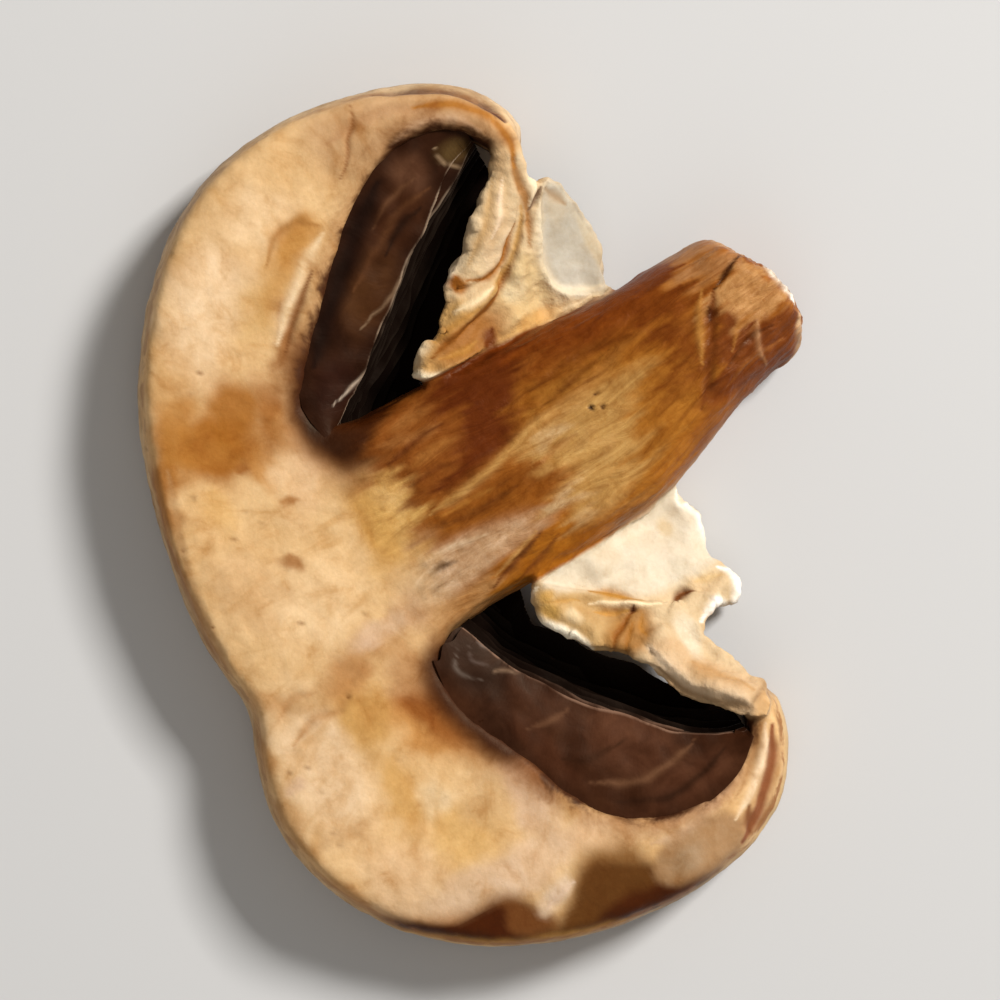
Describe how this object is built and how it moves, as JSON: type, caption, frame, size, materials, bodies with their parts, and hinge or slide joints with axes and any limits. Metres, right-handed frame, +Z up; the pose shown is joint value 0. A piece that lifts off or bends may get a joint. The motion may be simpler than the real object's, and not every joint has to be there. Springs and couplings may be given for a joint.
{
  "type": "button mushroom slice",
  "caption": "Lengthwise slice of a brown-gilled button mushroom, lying flat: cut cap, gill hollows with fanned gills, torn veil and thick stem.",
  "frame": {"origin": "under the middle of the slice, on the surface that it lies on", "axes": "+Y from the stem's foot towards the crown of the cap, +X across the cap, +Z up through the slice"},
  "size_m": [0.0584, 0.0474, 0.0081],
  "materials": {
    "flesh": "moist cream to caramel flesh",
    "gills": "moist dark brown"
  },
  "bodies": {
    "root": {"cap_and_stem": "flesh", "gills_left": "gills", "gills_right": "gills"}
  },
  "joints": []
}
